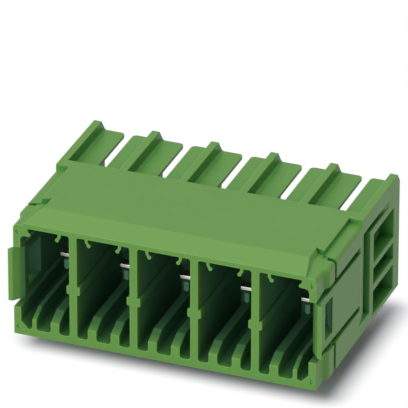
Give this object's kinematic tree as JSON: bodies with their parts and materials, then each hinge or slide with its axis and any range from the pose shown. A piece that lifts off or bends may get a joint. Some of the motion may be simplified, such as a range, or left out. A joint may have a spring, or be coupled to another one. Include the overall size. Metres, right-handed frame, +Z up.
{
  "type": "pluggable terminal block",
  "caption": "Right-angle header of a pluggable terminal block for a circuit board: green moulded housing with open plug chambers, flat tinned contacts and snap tongues in both side walls.",
  "frame": {"origin": "middle of the chamber block's underside, on the board face", "axes": "+X along the row of positions, -Y towards the plug, +Z up from the board"},
  "size_m": [0.0394, 0.0277, 0.0192],
  "materials": {
    "housing": "as moulded, fine matt grain",
    "contact": "tin plated"
  },
  "bodies": {
    "root": {"housing": "housing", "contact_1": "contact", "contact_2": "contact", "contact_3": "contact", "contact_4": "contact", "contact_5": "contact"}
  },
  "joints": []
}
